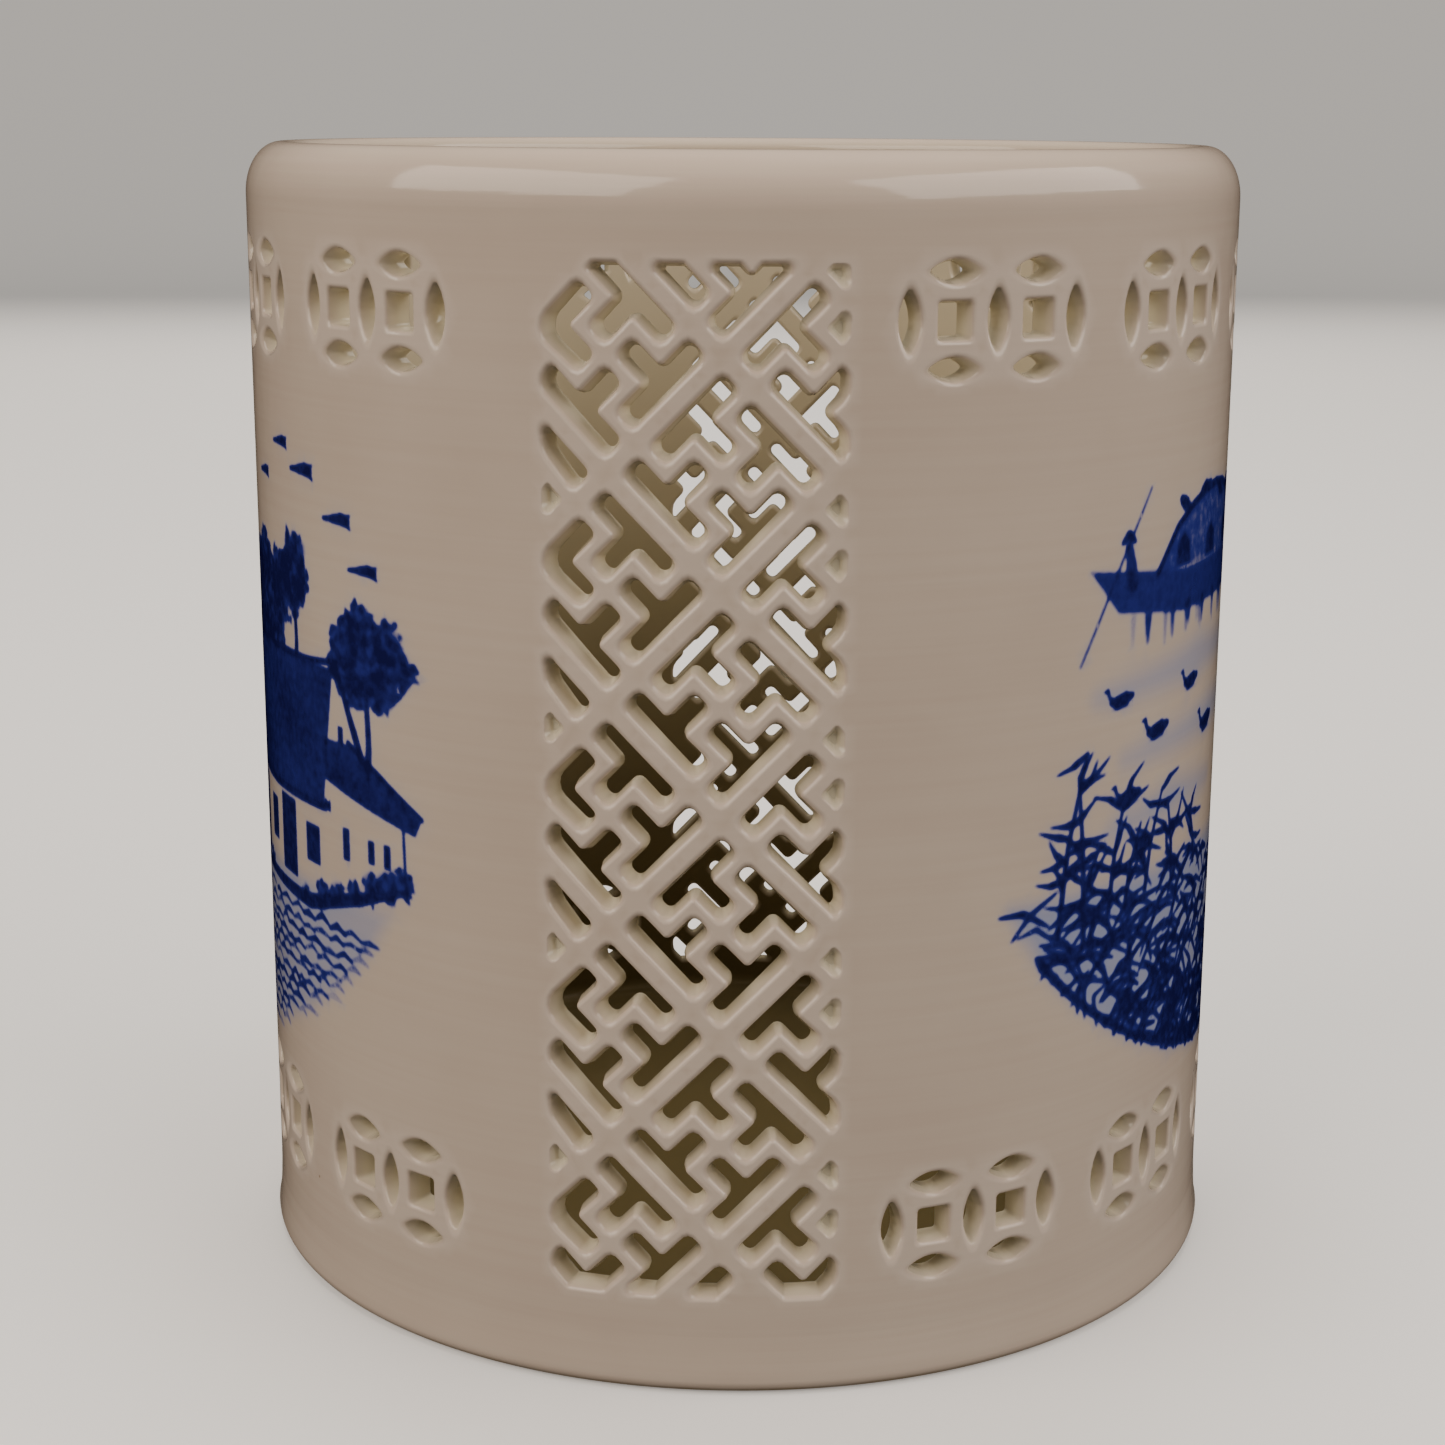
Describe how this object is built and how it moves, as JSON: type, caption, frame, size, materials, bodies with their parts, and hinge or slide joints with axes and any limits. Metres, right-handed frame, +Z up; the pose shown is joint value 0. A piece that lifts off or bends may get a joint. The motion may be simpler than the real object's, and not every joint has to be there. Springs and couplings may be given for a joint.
{
  "type": "brush holder pot",
  "caption": "Round porcelain pot for standing writing brushes in, with openwork lattice panels, double-coin piercings and blue painted scenes.",
  "frame": {"origin": "on the surface the pot stands on, under the middle of the foot", "axes": "+Z up the pot's axis; the front lattice panel faces -Y, the back one +Y"},
  "size_m": [0.116, 0.116, 0.13],
  "materials": {
    "glazed_wall": "clear glossy glaze over ivory-white porcelain, cobalt blue painting under the glaze",
    "glazed_lattice": "clear glossy glaze, pooled and slightly yellow in the carved slots",
    "bare_foot": "unglazed fired porcelain, toasted orange-brown at its edge"
  },
  "bodies": {
    "root": {"wall_shell": "glazed_wall", "lattice_panel_front": "glazed_lattice", "lattice_panel_back": "glazed_lattice", "rim_lip": "glazed_wall", "floor_disc": "glazed_wall", "foot_ring": "bare_foot"}
  },
  "joints": []
}
